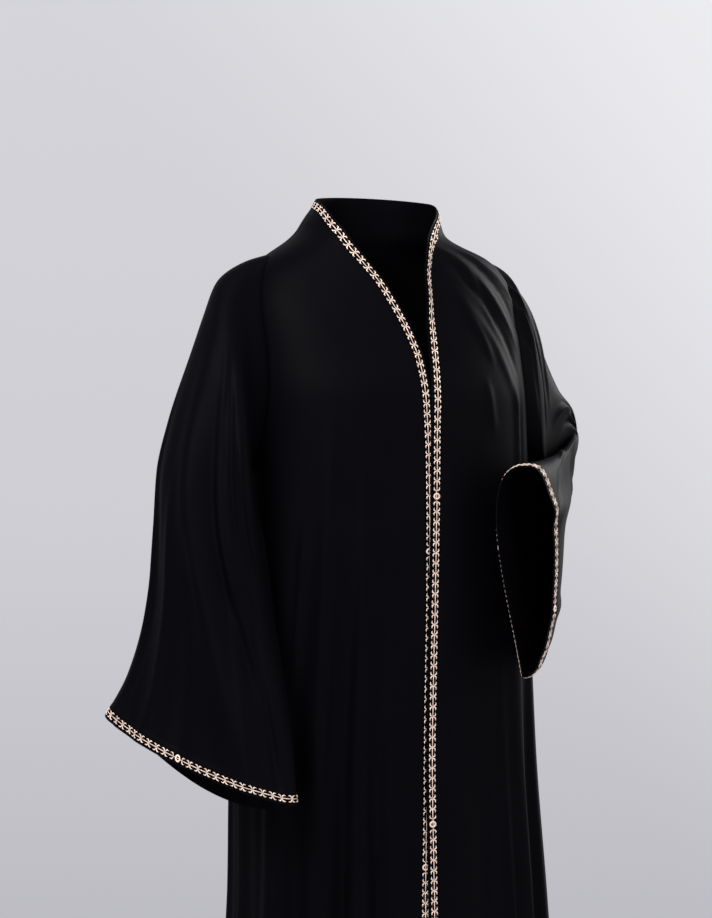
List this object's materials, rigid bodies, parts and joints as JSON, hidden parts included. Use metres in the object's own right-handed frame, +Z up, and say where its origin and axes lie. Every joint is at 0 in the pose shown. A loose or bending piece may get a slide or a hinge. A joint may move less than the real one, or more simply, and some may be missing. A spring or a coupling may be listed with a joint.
{
  "type": "abaya",
  "caption": "Open-front abaya held in a worn, hollow pose, with wide bell sleeves, one hanging and one bent, and a narrow embroidered braid along its edges.",
  "frame": {"origin": "midway between the shoulders, at the height where the wearer's shoulders carry the cloth", "axes": "+Z up, -Y the way the wearer faces, +X to the wearer's left"},
  "size_m": [0.7334, 0.419, 1.5282],
  "materials": {
    "cloth": "matt black crepe",
    "braid": "silky champagne thread on a narrow tape"
  },
  "bodies": {
    "root": {"back": "cloth", "front_right": "cloth", "front_left": "cloth", "sleeve_right": "cloth", "sleeve_left": "cloth", "braid_front_right": "braid", "braid_front_left": "braid", "braid_neck_back": "braid", "braid_cuff_right": "braid", "braid_cuff_left": "braid"}
  },
  "joints": []
}
